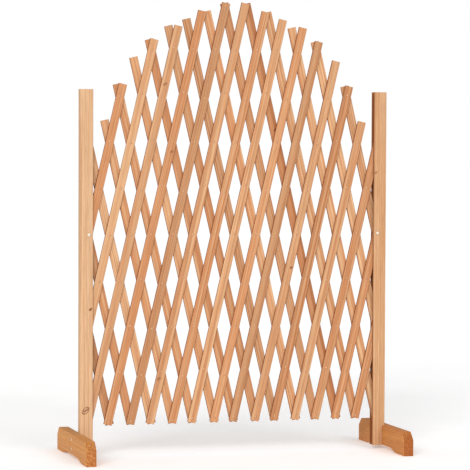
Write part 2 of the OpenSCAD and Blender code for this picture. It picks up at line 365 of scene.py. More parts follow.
def shaded(tree, colour, red, green, blue):
    """A colour darkened by a factor for red, for green and for blue."""
    shade = add_node(tree, "ShaderNodeCombineXYZ", {0: red, 1: green, 2: blue}).outputs[0]
    return blend(tree, 1.0, colour, shade, "MULTIPLY")


def length_of(tree, first, second):
    """Sum of two squares, and its root."""
    square = calculate(tree, "ADD", product(tree, first, first), product(tree, second, second))
    return square, calculate(tree, "SQRT", square)


def stretched_noise(tree, place, grain, detail=2.0):
    """Noise that changes as often in a metre along each axis as the grain says."""
    scaled = add_node(tree, "ShaderNodeVectorMath", {0: place, 1: grain}, operation="MULTIPLY")
    inputs = {"Vector": scaled.outputs[0], "Scale": 1.0, "Detail": detail}
    return add_node(tree, "ShaderNodeTexNoise", inputs).outputs[0]


def new_group(name, inputs, outputs):
    """An empty node group with its sockets, and the values that it is given."""
    group = bpy.data.node_groups.new(name, "ShaderNodeTree")
    for way, sockets in (("INPUT", inputs), ("OUTPUT", outputs)):
        for label, kind in sockets.items():
            group.interface.new_socket(label, in_out=way, socket_type=f"NodeSocket{kind}")
    return group, group.nodes.new("NodeGroupInput").outputs


def grain_group():
    """Growth rings, streaks and fibres of softwood, from the place of a point in its timber."""
    group, given = new_group(
        "Grain",
        {"Place": "Vector", "Bulge": "Float", "Ring Spacing": "Float"},
        {"Rings": "Float", "Streaks": "Float", "Fibres": "Float"},
    )
    late_wood = (0.3, 0.88)
    year_end = (1.0, 0.93)
    faintest = 0.3
    place = given["Place"]
    axes = add_node(group, "ShaderNodeSeparateXYZ", {0: place}).outputs
    wander = stretched_noise(group, place, WANDER_GRAIN)
    wander = calculate(group, "MULTIPLY_ADD", wander, 2 * RING_WANDER, -RING_WANDER)
    across = calculate(group, "ADD", calculate(group, "ADD", axes[0], wander), given["Bulge"])
    from_pith = length_of(group, across, axes[1])[1]
    count = calculate(group, "DIVIDE", from_pith, given["Ring Spacing"])
    season = calculate(group, "FRACT", count)
    year = calculate(group, "FLOOR", count)
    harshness = add_node(group, "ShaderNodeTexWhiteNoise", {"W": year}, noise_dimensions="1D").outputs["Value"]
    harshness = calculate(group, "MULTIPLY_ADD", harshness, 1 - faintest, faintest)
    outputs = {
        "Rings": product(group, ease(group, season, *late_wood), ease(group, season, *year_end), harshness),
        "Streaks": stretched_noise(group, place, STREAK_GRAIN, detail=3.0),
        "Fibres": stretched_noise(group, place, FIBRE_GRAIN),
    }
    add_node(group, "NodeGroupOutput", outputs)
    return group


def knot_group():
    """A knot with its dark rim and core, and the way that the grain bulges round it."""
    group, given = new_group(
        "Knot", {"Place": "Vector"}, {"Mask": "Float", "Dark": "Float", "Bulge": "Float"}
    )
    flatness = 1.1
    slant = -0.5
    roughness = 0.2
    crack_slope = 0.6
    bulge_reach = -0.3
    bulge_push = -0.6
    # Start and end of each fade, and the values that it runs between where these are not 0 and 1
    fades = {
        "edge": (1.45, 1.1),
        "rim inside": (0.7, 0.95),
        "rim outside": (1.35, 1.05),
        "broken rim": (0.35, 0.6, 0.3, 1.0),
        "crack end": (0.8, 0.5),
        "crack top": (0.1, 0.4, 1.0, 0.0),
        "crack bottom": (-0.4, -0.1),
        "small and dark": (3.9 * MM, 3.7 * MM),
    }

    def fade(value, name):
        return ease(group, value, *fades[name])

    axes = add_node(group, "ShaderNodeSeparateXYZ", {0: given["Place"]}).outputs
    radius = axes[1]
    across = calculate(group, "DIVIDE", axes[0], radius)
    along = calculate(group, "DIVIDE", axes[2], radius)
    slanted = calculate(group, "MULTIPLY_ADD", across, slant, product(group, along, flatness))
    square, reach = length_of(group, across, slanted)
    rough = stretched_noise(group, given["Place"], KNOT_GRAIN)
    reach = calculate(group, "ADD", reach, calculate(group, "MULTIPLY_ADD", rough, 2 * roughness, -roughness))
    mask = fade(reach, "edge")
    rim = product(group, fade(reach, "rim inside"), fade(reach, "rim outside"), fade(rough, "broken rim"))
    lean = calculate(group, "SUBTRACT", product(group, across, crack_slope), along)
    crack = product(group, fade(reach, "crack end"), fade(lean, "crack top"), fade(lean, "crack bottom"))
    filled = product(group, mask, fade(radius, "small and dark"))
    fall = calculate(group, "EXPONENT", product(group, square, bulge_reach))
    outputs = {
        "Mask": mask,
        "Dark": calculate(group, "MAXIMUM", filled, calculate(group, "MAXIMUM", rim, crack)),
        "Bulge": product(group, axes[0], fall, bulge_push),
    }
    add_node(group, "NodeGroupOutput", outputs)
    return group


def stain_group():
    """Colour, roughness and height of stained softwood, from its grain, tone and wear, with painted shade
    where the Sawn value passes 1.
    """
    group, given = new_group(
        "Stain",
        {
            "Pale": "Color", "Warm": "Color", "Deep": "Color", "Knot Colour": "Color",
            "Tone": "Vector", "Rings": "Float", "Ring Depth": "Float", "Streaks": "Float", "Fibres": "Float",
            "Knot": "Float", "Knot Dark": "Float", "Arris": "Float", "Sawn": "Float",
        },
        {"Color": "Color", "Roughness": "Float", "Height": "Float"},
    )
    blotches = 0.6
    sawn_roughness = 0.2
    ring_height = 0.8
    # Start and end of each fade, and the values that it runs between where these are not 0 and 1
    fades = {
        "streak": (0.3, 0.7, -0.5, 0.5),
        "fibre": (0.25, 0.75, 0.82, 1.1),
        "wear": (0.4, 0.7, 0.0, 0.4),
        "soaking": (0.0, 0.6, 0.5, 0.85),
        "painted_shade": (1.0, 2.0, 1.0, 0.56),
        "knot": (0.0, 1.0, 0.12, 0.85),
        "roughness": (0.0, 0.8, 0.66, 0.52),
    }

    def fade(label, name):
        return ease(group, given[label], *fades[name])

    tone = add_node(group, "ShaderNodeSeparateXYZ", {0: given["Tone"]}).outputs
    streak = fade("Streaks", "streak")
    colour = blend(group, calculate(group, "ADD", tone[0], streak, clamp=True), given["Pale"], given["Warm"])
    rings = product(group, given["Rings"], given["Ring Depth"])
    colour = blend(group, calculate(group, "ADD", tone[1], rings, clamp=True), colour, given["Deep"])
    fibre = fade("Fibres", "fibre")
    colour = shaded(group, colour, fibre, fibre, fibre)
    colour = blend(group, product(group, given["Arris"], fade("Fibres", "wear")), colour, given["Pale"])
    soaking = calculate(group, "ADD", tone[2], fade("Rings", "soaking"))
    soaking = calculate(group, "MULTIPLY_ADD", streak, blotches, soaking)
    colour = blend(group, product(group, given["Sawn"], soaking), colour, given["Deep"])
    # Painted shade: a Sawn value past 1 darkens the colour, least in red, in the posts' grooves and along the
    # laths' sides.
    painted_shade = fade("Sawn", "painted_shade")
    squared = calculate(group, "POWER", painted_shade, 2.0)
    cubed = calculate(group, "POWER", painted_shade, 3.0)
    colour = shaded(group, colour, painted_shade, squared, cubed)
    knot = product(group, given["Knot"], fade("Knot Dark", "knot"))
    sawn = product(group, given["Sawn"], sawn_roughness)
    outputs = {
        "Color": blend(group, knot, colour, given["Knot Colour"]),
        "Roughness": calculate(group, "ADD", fade("Rings", "roughness"), sawn, clamp=True),
        "Height": calculate(group, "MULTIPLY_ADD", given["Rings"], ring_height, given["Fibres"]),
    }
    add_node(group, "NodeGroupOutput", outputs)
    return group


def tarnish_group():
    """Dull patches and fine scratches of small metal pieces."""
    group, given = new_group(
        "Tarnish", {"Place": "Vector"}, {"Dull": "Float", "Roughness": "Float", "Height": "Float"}
    )
    dulled = (0.4, 0.65)
    roughened = (0.3, 0.7, 0.32, 0.58)
    patches = stretched_noise(group, given["Place"], PATCH_GRAIN, detail=4.0)
    outputs = {
        "Dull": ease(group, patches, *dulled),
        "Roughness": ease(group, patches, *roughened),
        "Height": stretched_noise(group, given["Place"], SCRATCH_GRAIN, detail=3.0),
    }
    add_node(group, "NodeGroupOutput", outputs)
    return group


def shared_group(name):
    """A node group that is built the first time it is asked for."""
    makers = {"Grain": grain_group, "Knot": knot_group, "Stain": stain_group, "Tarnish": tarnish_group}
    return bpy.data.node_groups.get(name) or makers[name]()


def new_material(name):
    """An empty material and its node tree."""
    material = bpy.data.materials.new(name)
    material.use_nodes = True
    material.node_tree.nodes.clear()
    return material, material.node_tree


def add_surface(tree, inputs):
    """Ends the node tree of a material with its shader."""
    shader = add_node(tree, "ShaderNodeBsdfPrincipled", inputs)
    add_node(tree, "ShaderNodeOutputMaterial", {0: shader.outputs[0]})


def place_group(tree, name, inputs):
    """Puts a shared group into a material and returns its outputs."""
    return add_node(tree, "ShaderNodeGroup", inputs, node_tree=shared_group(name)).outputs


def bump(tree, height, depth, strength):
    """Normals of a surface whose height varies by about the depth."""
    inputs = {"Height": height, "Distance": depth, "Strength": strength}
    return add_node(tree, "ShaderNodeBump", inputs).outputs[0]


def timber(name):
    """Stained wood whose grain runs along each board, with the knots that the board has."""
    finished = bpy.data.materials.get(f"stained_{name}")
    if finished:
        return finished
    finishes = bpy.context.scene.trellis_finishes
    ring_spacing, ring_depth = RINGS[name]
    material, tree = new_material(f"stained_{name}")

    def read(attribute, output="Vector"):
        return add_node(tree, "ShaderNodeAttribute", attribute_name=attribute).outputs[output]

    first = place_group(tree, "Knot", {"Place": read("knot")})
    second = place_group(tree, "Knot", {"Place": read("second_knot")})
    bulge = calculate(tree, "ADD", first["Bulge"], second["Bulge"])
    grain = place_group(tree, "Grain", {"Place": read("grain"), "Bulge": bulge, "Ring Spacing": ring_spacing})
    inputs = {shade: getattr(finishes, f"{name}_{shade.lower()}") for shade in ("Pale", "Warm", "Deep")}
    inputs |= {label: grain[label] for label in ("Rings", "Streaks", "Fibres")}
    inputs |= {label: read(label.lower(), "Fac") for label in ("Arris", "Sawn")}
    inputs |= {
        "Tone": read("tone"),
        "Ring Depth": ring_depth,
        "Knot Colour": finishes.knot,
        "Knot": calculate(tree, "MAXIMUM", first["Mask"], second["Mask"]),
        "Knot Dark": calculate(tree, "MAXIMUM", first["Dark"], second["Dark"]),
    }
    stain = place_group(tree, "Stain", inputs)
    surface = {
        "Base Color": stain["Color"],
        "Roughness": stain["Roughness"],
        "Normal": bump(tree, stain["Height"], *WOOD_RELIEF),
        "Specular IOR Level": WOOD_SHINE,
    }
    add_surface(tree, surface)
    return material


def metal(name, bright, dark, dullness=0.0):
    """Plated or plain metal with dull patches and fine scratches."""
    finished = bpy.data.materials.get(name)
    if finished:
        return finished
    material, tree = new_material(name)
    place = add_node(tree, "ShaderNodeTexCoord").outputs["Object"]
    tarnish = place_group(tree, "Tarnish", {"Place": place})
    surface = {
        "Base Color": blend(tree, tarnish["Dull"], bright, dark),
        "Roughness": calculate(tree, "ADD", tarnish["Roughness"], dullness),
        "Normal": bump(tree, tarnish["Height"], *METAL_RELIEF),
        "Metallic": 1.0,
    }
    add_surface(tree, surface)
    return material


# Meshes


def move(shape, matrix):
    """Moves a whole shape."""
    bmesh.ops.transform(shape, matrix=matrix, verts=shape.verts)
    return shape


def mesh_of(shape, name):
    """Turns a shape into a mesh, and frees the shape."""
    mesh = bpy.data.meshes.new(name)
    shape.to_mesh(mesh)
    shape.free()
    return mesh


def add_object(name, data):
    """Puts a new object into the scene."""
    made = bpy.data.objects.new(name, data)
    bpy.context.scene.collection.objects.link(made)
    return made


def joined(shapes):
    """Several shapes as one."""
    whole = bmesh.new()
    for shape in shapes:
        part = mesh_of(shape, "part")
        whole.from_mesh(part)
        bpy.data.meshes.remove(part)
    return whole


def combined(shape, tool, operation="DIFFERENCE"):
    """What is left of a closed shape when another is cut out of it or laid over it."""
    pieces = [add_object(name, mesh_of(part, name)) for name, part in (("shape", shape), ("tool", tool))]
    cut = pieces[0].modifiers.new("cut", "BOOLEAN")
    cut.operation = operation
    cut.solver = "EXACT"
    cut.object = pieces[1]
    left = bmesh.new()
    left.from_object(pieces[0], bpy.context.evaluated_depsgraph_get())
    for piece in pieces:
        mesh = piece.data
        bpy.data.objects.remove(piece)
        bpy.data.meshes.remove(mesh)
    return left


def turned(profile, sides, closed=False):
    """A solid turned about Z from points of radius and height."""
    shape = bmesh.new()
    points = [shape.verts.new((radius, 0.0, height)) for radius, height in profile]
    pairs = list(zip(points, points[1:])) + ([(points[-1], points[0])] if closed else [])
    edges = [shape.edges.new(pair) for pair in pairs]
    bmesh.ops.spin(
        shape,
        geom=points + edges,
        cent=(0.0, 0.0, 0.0),
        axis=(0.0, 0.0, 1.0),
        angle=math.tau,
        steps=sides,
        use_merge=True,
    )
    bmesh.ops.remove_doubles(shape, verts=shape.verts, dist=TINY)
    bmesh.ops.recalc_face_normals(shape, faces=shape.faces)
    return shape


def rod(radius, low, high, sides):
    """A plain rod along Z, round or with a few flat sides."""
    return turned([(0.0, low), (radius, low), (radius, high), (0.0, high)], sides)


def cuboid(size):
    """A box round its own middle."""
    shape = bmesh.new()
    bmesh.ops.create_cube(shape, size=1.0)
    bmesh.ops.scale(shape, vec=size, verts=shape.verts)
    return shape


def along_y(x, y, z):
    """Stands a shape that is drawn along Z at a point, pointing to the back."""
    return Matrix.Translation((x, y, z)) @ Matrix.Rotation(-math.pi / 2, 4, "X")


def solids(node):
    """Lowest and highest corners of the separate solids that a node holds."""
    shape = bmesh.new()
    shape.from_mesh(frame["nodes"][node].data)
    bmesh.ops.remove_doubles(shape, verts=shape.verts, dist=TINY)
    left = set(shape.verts)
    boxes = []
    while left:
        ahead = [left.pop()]
        found = []
        while ahead:
            vertex = ahead.pop()
            found.append(vertex.co.copy())
            linked = {edge.other_vert(vertex) for edge in vertex.link_edges} & left
            left -= linked
            ahead.extend(linked)
        boxes.append([Vector(pick(point[i] for point in found) for i in range(3)) for pick in (min, max)])
    shape.free()
    return sorted(boxes, key=lambda box: (box[0].z, box[0].y))


def middle(box):
    """Middle of a box."""
    return (box[0] + box[1]) / 2


def finish_piece(shape, node, suffix, material):
    """Makes a shape a piece that stands for a node and rides on the node's body."""
    name = f"{node}_{suffix}"
    mesh = mesh_of(shape, name)
    mesh.materials.append(material)
    mesh.shade_smooth()
    mesh.set_sharp_from_angle(angle=SHARP_ANGLE)
    piece = add_object(name, mesh)
    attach(piece, frame["nodes"][node]["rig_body"])
    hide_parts(node)
    return piece


def board_space(node, turn):
    """Place of a board and its half sizes: X across it, Y through it and Z along it."""
    place = Matrix.Translation(middle(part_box(node))) @ turn
    back = place.inverted()
    points = [back @ vertex.co for vertex in frame["nodes"][node].data.vertices]
    return place, Vector(max(abs(point[i]) for point in points) for i in range(3))


def round_edges(shape, edges, radius, steps):
    """Rounds some edges of a shape."""
    bmesh.ops.bevel(
        shape, geom=edges, offset=radius, segments=steps, profile=0.5, affect="EDGES", material=-1
    )


def cut_sections(shape, reach, length):
    """Cuts a board across into sections, so that it can warp."""
    count = max(2, round(2 * reach / length))
    for k in range(1, count):
        height = reach * (2 * k / count - 1)
        bmesh.ops.bisect_plane(
            shape,
            geom=shape.verts[:] + shape.edges[:] + shape.faces[:],
            dist=TINY,
            plane_co=(0.0, 0.0, height),
            plane_no=(0.0, 0.0, 1.0),
        )


def straight_board(half, edge, sizes):
    """A board round its own middle, with rounded long edges and broken sawn edges."""
    shape = cuboid(2 * half)
    upright = [e for e in shape.edges if abs(e.verts[0].co.z - e.verts[1].co.z) > half.z]
    round_edges(shape, upright, edge, EDGE_STEPS)
    rims = [e for e in shape.edges if all(abs(v.co.z) > half.z - TINY for v in e.verts)]
    round_edges(shape, rims, sizes.sawn_edge, 1)
    cut_sections(shape, half.z - edge, sizes.section)
    return shape


def corner_share(place, half, edge):
    """How far a point is round a board's long edge: 0 on its faces and 1 halfway round."""
    shares = [max(0.0, 1 - (half[i] - abs(place[i])) / edge) for i in (0, 1)]
    return min(1.0, 2 * shares[0] * shares[1])


def weather(shape, name, half, edge, sizes):
    """Bows and planes a board unevenly, nicks its edges and sets its ends a little out of square."""
    draw = random.Random(f"shape of {name}")
    start = draw.uniform(0.0, BOARD_SPREAD)
    slants = [math.tan(draw.uniform(-sizes.saw_slant, sizes.saw_slant)) for _ in SIDES]
    for vertex in shape.verts:
        place = vertex.co.copy()
        share = place.z / half.z
        side, face, end = (math.copysign(1.0, place[i]) for i in range(3))
        bend = noise.noise((start, place.z * BOW_WAVES, 0.0)) * sizes.bow * (1 - share * share)
        uneven = (1 + noise.noise((place.z * PLANING_WAVES, start, PLANING_ROWS * face))) * sizes.planing / 2
        hurt = noise.noise((place.z * NICK_WAVES, start + NICK_ROWS[0] * side, NICK_ROWS[1] * face))
        inward = max(0.0, hurt - NICK_START) * sizes.nick * corner_share(place, half, edge)
        vertex.co.x += bend - inward * side
        vertex.co.y -= (inward + uneven) * face
        if abs(place.z) > half.z - edge:
            vertex.co.z -= abs(place.x * slants[0 if share < 0 else 1]) * end


def mark_timber(shape, name, half, edge, tone, knots, side_soak_and_shade=0.0):
    """Gives each vertex its place in its timber, its board's tone, its wear, its place from the knots, and the
    extra soak and painted shade of its long sides.
    """
    draw = random.Random(f"timber of {name}")
    aside = draw.uniform(-PITH_ASIDE, PITH_ASIDE) * MM
    behind = draw.uniform(*PITH_BEHIND) * MM
    pith = Vector((aside, behind, draw.uniform(0.0, TREE_HEIGHT)))
    tone = tone or (draw.uniform(0.0, 1.0), draw.uniform(0.0, DEEPEST_TONE) ** 2, 0.0)
    across_grain = 0.5
    vectors = shape.verts.layers.float_vector
    grain, toned, first, second = (vectors.new(label) for label in ("grain", "tone", "knot", "second_knot"))
    arris = shape.verts.layers.float.new("arris")
    sawn = shape.verts.layers.float.new("sawn")
    for vertex in shape.verts:
        place = vertex.co
        vertex[grain] = place + pith
        vertex[toned] = tone
        vertex[arris] = corner_share(place, half, edge)
        # Long sides take the side soak, which past 1 is painted shade as well as stain.
        vertex[sawn] = side_soak_and_shade if abs(place.x) > half.x - edge / 3 else 0.0
        if all(abs(face.normal.z) > across_grain for face in vertex.link_faces):
            vertex[sawn] = END_SOAK if abs(place.z) > half.z - 2 * edge else CUT_SOAK
        for layer, knot in zip((first, second), [*knots, None, None]):
            vertex[layer] = (place.x - knot[0], knot[2], place.z - knot[1]) if knot else NO_KNOT


def knots_of(node, place):
    """Knots of a board in its own space: across, along and radius."""
    middle_height = place.translation.z
    steepness = place.col[2].z
    return [(x, (height - middle_height) / steepness, radius) for height, x, radius in KNOTS.get(node, [])]


def rivet_places():
    """Middles of all the rivets."""
    return [middle(box) for row in RIVET_ROWS for box in solids(row)]


def drills(places, radius, reach, sides):
    """Round cutters that stand through a board at the given places across and along it."""
    return joined([move(rod(radius, -reach, reach, sides), along_y(x, 0.0, z)) for x, z in places])


def block(first, second):
    """A box between two corners, for cutting."""
    size = Vector(abs(second[i] - first[i]) for i in range(3))
    return move(cuboid(size), Matrix.Translation((first + second) / 2))


class TRELLIS_OT_laths(Operator):
    """Model the crossing laths with their rounded edges, sawn ends and rivet holes"""

    bl_idname = "trellis.laths"
    bl_label = "Laths"

    def execute(self, context):
        sizes = context.scene.trellis_boards
        metal_sizes = context.scene.trellis_fasteners
        rivets = rivet_places()
        bolts = [middle(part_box(f"{side}_pivot_bolt")) for side in SIDES]
        for node in LATHS:
            lean = sizes.lath_lean if node.startswith("front") else -sizes.lath_lean
            place, half = board_space(node, Matrix.Rotation(lean, 4, "Y"))
            shape = straight_board(half, sizes.lath_edge, sizes)
            weather(shape, node, half, sizes.lath_edge, sizes)
            back = place.inverted()
            for points, shank in ((rivets, metal_sizes.rivet_shank), (bolts, metal_sizes.bolt_shank)):
                near = [back @ point for point in points]
                holes = [(p.x, p.z) for p in near if abs(p.x) < HOLE_STRAY and abs(p.z) < half.z]
                if holes:
                    radius = shank / 2 + metal_sizes.rivet_play
                    cutter = drills(holes, radius, 2 * half.y, metal_sizes.rivet_sides)
                    shape = combined(shape, cutter)
            shape.normal_update()
            # The laths' long sides soak up stain and get painted shade, where the two layers shade each other.
            mark_timber(shape, node, half, sizes.lath_edge, None, knots_of(node, place), SIDE_SOAK_AND_SHADE)
            finish_piece(move(shape, place), node, "board", timber("lath"))
        return {"FINISHED"}


class TRELLIS_OT_posts(Operator):
    """Model the two posts with their grooves, bolt holes and screw holes"""

    bl_idname = "trellis.posts"
    bl_label = "Posts"

    def execute(self, context):
        sizes = context.scene.trellis_boards
        metal_sizes = context.scene.trellis_fasteners
        sides = metal_sizes.round_sides
        for side in SIDES:
            node = f"{side}_post"
            place, half = board_space(node, Matrix.Identity(4))
            shape = straight_board(half, sizes.post_edge, sizes)
            weather(shape, node, half, sizes.post_edge, sizes)
            back = place.inverted()
            bolt = back @ middle(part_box(f"{side}_pivot_bolt"))
            shape = combined(shape, drills([(bolt.x, bolt.z)], metal_sizes.bolt_shank / 2, 2 * half.y, sides))
            shape = combined(shape, self.groove(side, back, half, sizes))
            for box in solids(f"{side}_foot_screws"):
                low, high = (back @ corner for corner in box)
                screw = rod(metal_sizes.screw_shank / 2, low.x, high.x, sides)
                turn = Matrix.Rotation(math.pi / 2, 4, "Y")
                height = (low.z + high.z) / 2
                shape = combined(shape, move(screw, Matrix.Translation((0.0, 0.0, height)) @ turn))
            shape.normal_update()
            mark_timber(shape, node, half, sizes.post_edge, TONES[node], knots_of(node, place))
            self.soak_and_shade_groove(shape, INWARD[side], half, sizes)
            finish_piece(move(shape, place), node, "board", timber("post"))
        return {"FINISHED"}

    def soak_and_shade_groove(self, shape, inward, half, sizes):
        """Lets the unplaned groove, and the narrow edges beside it, soak up more stain than the faces, and
        paints shade into them as deep as the shade of the groove.
        """
        sawn = shape.verts.layers.float["sawn"]
        inside = half.y - 2 * sizes.post_edge
        for vertex in shape.verts:
            on_edge = vertex.co.x * inward > half.x - sizes.post_edge / 3
            if on_edge or (abs(vertex.co.y) < inside and abs(vertex.co.x) < half.x - sizes.post_edge):
                vertex[sawn] = SIDE_SOAK_AND_SHADE

    def groove(self, side, back, half, sizes):
        """A cutter for the groove that takes the lattice, open on the inner side and at both ends."""
        spacers = solids(f"{side}_pivot_washers")
        bolt = middle(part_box(f"{side}_pivot_bolt"))
        inward = INWARD[side]
        walls = sorted(face.y for box in spacers for face in box)
        bottom = Vector((bolt.x - inward * sizes.groove_reach, walls[0], -half.z))
        opening = Vector((bolt.x + inward * 2 * half.x, walls[3], 3 * half.z))
        return block(back @ bottom, back @ opening)


def foot_outline(half, sizes):
    """Half of a foot's outline as heights and lengths, from the top middle round to the arch's middle."""
    end = half.z
    top = [(half.x, 0.0), (half.x, end - sizes.foot_bevel), (sizes.foot_end - half.x, end), (-half.x, end)]
    start = end - sizes.foot_pad
    shares = [k / CURVE_STEPS for k in range(CURVE_STEPS + 1)]
    heights = [sizes.foot_arch * (1 - math.cos(math.pi * share)) / 2 - half.x for share in shares]
    return top + [(height, start - sizes.foot_curve * share) for height, share in zip(heights, shares)]


class TRELLIS_OT_feet(Operator):
    """Model the two feet with their bevelled corners, arched underside, housings and screw holes"""

    bl_idname = "trellis.feet"
    bl_label = "Feet"

    def execute(self, context):
        sizes = context.scene.trellis_boards
        metal_sizes = context.scene.trellis_fasteners
        for side in SIDES:
            node = f"{side}_foot"
            turn = Matrix(((0, 1, 0, 0), (0, 0, 1, 0), (1, 0, 0, 0), (0, 0, 0, 1)))
            place, half = board_space(node, turn)
            outline = foot_outline(half, sizes)
            outline += [(height, -length) for height, length in reversed(outline[1:])]
            shape = bmesh.new()
            corners = [shape.verts.new((height, -half.y, length)) for height, length in outline]
            face = shape.faces.new(corners)
            sheet = bmesh.ops.extrude_face_region(shape, geom=[face])
            far = [item for item in sheet["geom"] if isinstance(item, bmesh.types.BMVert)]
            bmesh.ops.translate(shape, verts=far, vec=(0.0, 2 * half.y, 0.0))
            bmesh.ops.recalc_face_normals(shape, faces=shape.faces)
            sharp = [e for e in shape.edges if e.calc_face_angle() > FOOT_CORNER]
            round_edges(shape, sharp, sizes.foot_edge, EDGE_STEPS)
            cut_sections(shape, half.z - sizes.foot_edge, sizes.section)
            back = place.inverted()
            low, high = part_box(f"{side}_post")
            play = Vector((0.0, sizes.housing_play, high.z))
            shape = combined(shape, move(block(low - play, high + play), back))
            for box in solids(f"{side}_foot_screws"):
                screw = self.countersink(box, metal_sizes)
                shape = combined(shape, move(screw, back @ screw_place(box, side)))
            shape.normal_update()
            mark_timber(shape, node, half, sizes.foot_edge, TONES[node], [])
            finish_piece(move(shape, place), node, "board", timber("foot"))
        return {"FINISHED"}

    def countersink(self, box, metal_sizes):
        """A cutter for a screw's hole and the cone under its head."""
        size = box[1] - box[0]
        head = size.z / 2
        shank = metal_sizes.screw_shank / 2
        top = metal_sizes.screw_head
        slope = (head - shank) / top
        above = 1 * MM
        profile = [(0.0, -above), (head + slope * above, -above), (shank, top), (shank, size.x), (0.0, size.x)]
        return turned(profile, metal_sizes.round_sides)


def screw_place(box, side):
    """Stands a screw that is drawn along Z, head first, in its hole from a foot's outer face."""
    point = middle(box)
    point.x = box[0].x if side == "left" else box[1].x
    return Matrix.Translation(point) @ Matrix.Rotation(INWARD[side] * math.pi / 2, 4, "Y")


class TRELLIS_OT_rivets(Operator):
    """Model the rivets: domed heads in front, rolled tails behind"""

    bl_idname = "trellis.rivets"
    bl_label = "Rivets"

    def execute(self, context):
        sizes = context.scene.trellis_fasteners
        finishes = context.scene.trellis_finishes
        brass = metal("rivet_brass", finishes.rivet, finishes.rivet_dark, RIVET_DULLNESS)
        for node in RIVET_ROWS:
            boxes = solids(node)
            if not boxes:
                raise RuntimeError(f"{node} holds no rivets")
            shapes = [move(self.rivet(box, sizes), along_y(*middle(box))) for box in boxes]
            finish_piece(joined(shapes), node, "metal", brass)
        return {"FINISHED"}

    def rivet(self, box, sizes):
        """One rivet round its own middle, its head towards the front."""
        radius, reach, _ = (box[1] - box[0]) / 2
        tall = sizes.rivet_head
        seat = reach - tall
        shank = sizes.rivet_shank / 2
        head = [(share * radius, rise * tall - reach) for share, rise in RIVET_DOME]
        tail = [(share * radius, rise * tall + seat) for share, rise in RIVET_TAIL]
        return turned(head + [(shank, -seat), (shank, seat)] + tail, sizes.rivet_sides)


def finish_fastener(shape, node):
    """Makes a shape a fastener of plated steel."""
    finishes = bpy.context.scene.trellis_finishes
    steel = metal("plated_steel", finishes.zinc, finishes.zinc_dark)
    finish_piece(shape, node, "metal", steel)


class TRELLIS_OT_pivot_bolts(Operator):
    """Model the bolts on which the lattice turns at the posts"""

    bl_idname = "trellis.pivot_bolts"
    bl_label = "Pivot Bolts"

    def execute(self, context):
        sizes = context.scene.trellis_fasteners
        for side in SIDES:
            node = f"{side}_pivot_bolt"
            low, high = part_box(node)
            point = middle((low, high))
            size = high - low
            shape = self.bolt(size.x / 2, size.y, sizes)
            move(shape, along_y(point.x, low.y, point.z))
            finish_fastener(shape, node)
        return {"FINISHED"}

    def bolt(self, radius, length, sizes):
        """A bolt along Z: its domed head from z = 0, its threaded end last."""
        shank = sizes.bolt_shank / 2
        head = sizes.bolt_head
        pitch = sizes.thread_pitch
        angles = [math.pi / 2 * k / DOME_STEPS for k in range(DOME_STEPS + 1)]
        dome = [(radius * math.sin(angle), head * (1 - math.cos(angle)) * DOME_SHARE) for angle in angles]
        core = shank - THREAD_DEPTH
        start = length - sizes.thread_length
        thread = []
        for k in range(round(sizes.thread_length / pitch)):
            root, crest = (start + (k + place) * pitch for place in THREAD_PLACES)
            thread += [(core, root), (shank, crest)]
        end = [(core, length - BOLT_CHAMFER[1]), (core - BOLT_CHAMFER[0], length), (0.0, length)]
        profile = dome + [(radius, head), (shank, head), (shank, start)] + thread + end
        return turned(profile, sizes.round_sides)


def washer(box, sizes):
    """A flat washer with softly broken edges, along Z from z = 0."""
    size = box[1] - box[0]
    outer = size.x / 2
    inner = sizes.bolt_shank / 2 + BORE_PLAY
    tall = size.y
    soft = WASHER_SOFTNESS * tall
    under = [(inner, soft), (inner + soft, 0.0), (outer - soft, 0.0), (outer, soft)]
    over = [(radius, tall - height) for radius, height in reversed(under)]
    return turned(under + over, sizes.round_sides, closed=True)


class TRELLIS_OT_pivot_washers(Operator):
    """Model the spacing washers and the washers under the nuts"""

    bl_idname = "trellis.pivot_washers"
    bl_label = "Pivot Washers"

    def execute(self, context):
        sizes = context.scene.trellis_fasteners
        for side in SIDES:
            node = f"{side}_pivot_washers"
            shapes = []
            for box in solids(node):
                point = middle(box)
                shapes.append(move(washer(box, sizes), along_y(point.x, box[0].y, point.z)))
            finish_fastener(joined(shapes), node)
        return {"FINISHED"}


class TRELLIS_OT_pivot_nuts(Operator):
    """Model the six-sided nuts behind the posts"""

    bl_idname = "trellis.pivot_nuts"
    bl_label = "Pivot Nuts"

    def execute(self, context):
        sizes = context.scene.trellis_fasteners
        for side in SIDES:
            node = f"{side}_pivot_nut"
            low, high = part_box(node)
            size = high - low
            shape = self.nut(max(size.x, size.z) / 2, size.y, sizes)
            move(shape, along_y(*middle((low, high))))
            finish_fastener(shape, node)
        return {"FINISHED"}

    def nut(self, corner, tall, sizes):
        """A nut round its own middle, its corners chamfered and its bore open."""
        half = tall / 2
        flat = corner * math.cos(math.pi / NUT_SIDES)
        lip = (corner - flat) * math.tan(NUT_CHAMFER) + NUT_LIP
        barrel = [(0.0, -half), (flat - NUT_FACE, -half), (corner + TINY, lip - half)]
        barrel += [(radius, -height) for radius, height in reversed(barrel)]
        prism = rod(corner, -half, half, NUT_SIDES)
        shape = combined(prism, turned(barrel, 2 * sizes.round_sides), "INTERSECT")
        return combined(shape, rod(sizes.bolt_shank / 2 + BORE_PLAY, -tall, tall, sizes.round_sides))


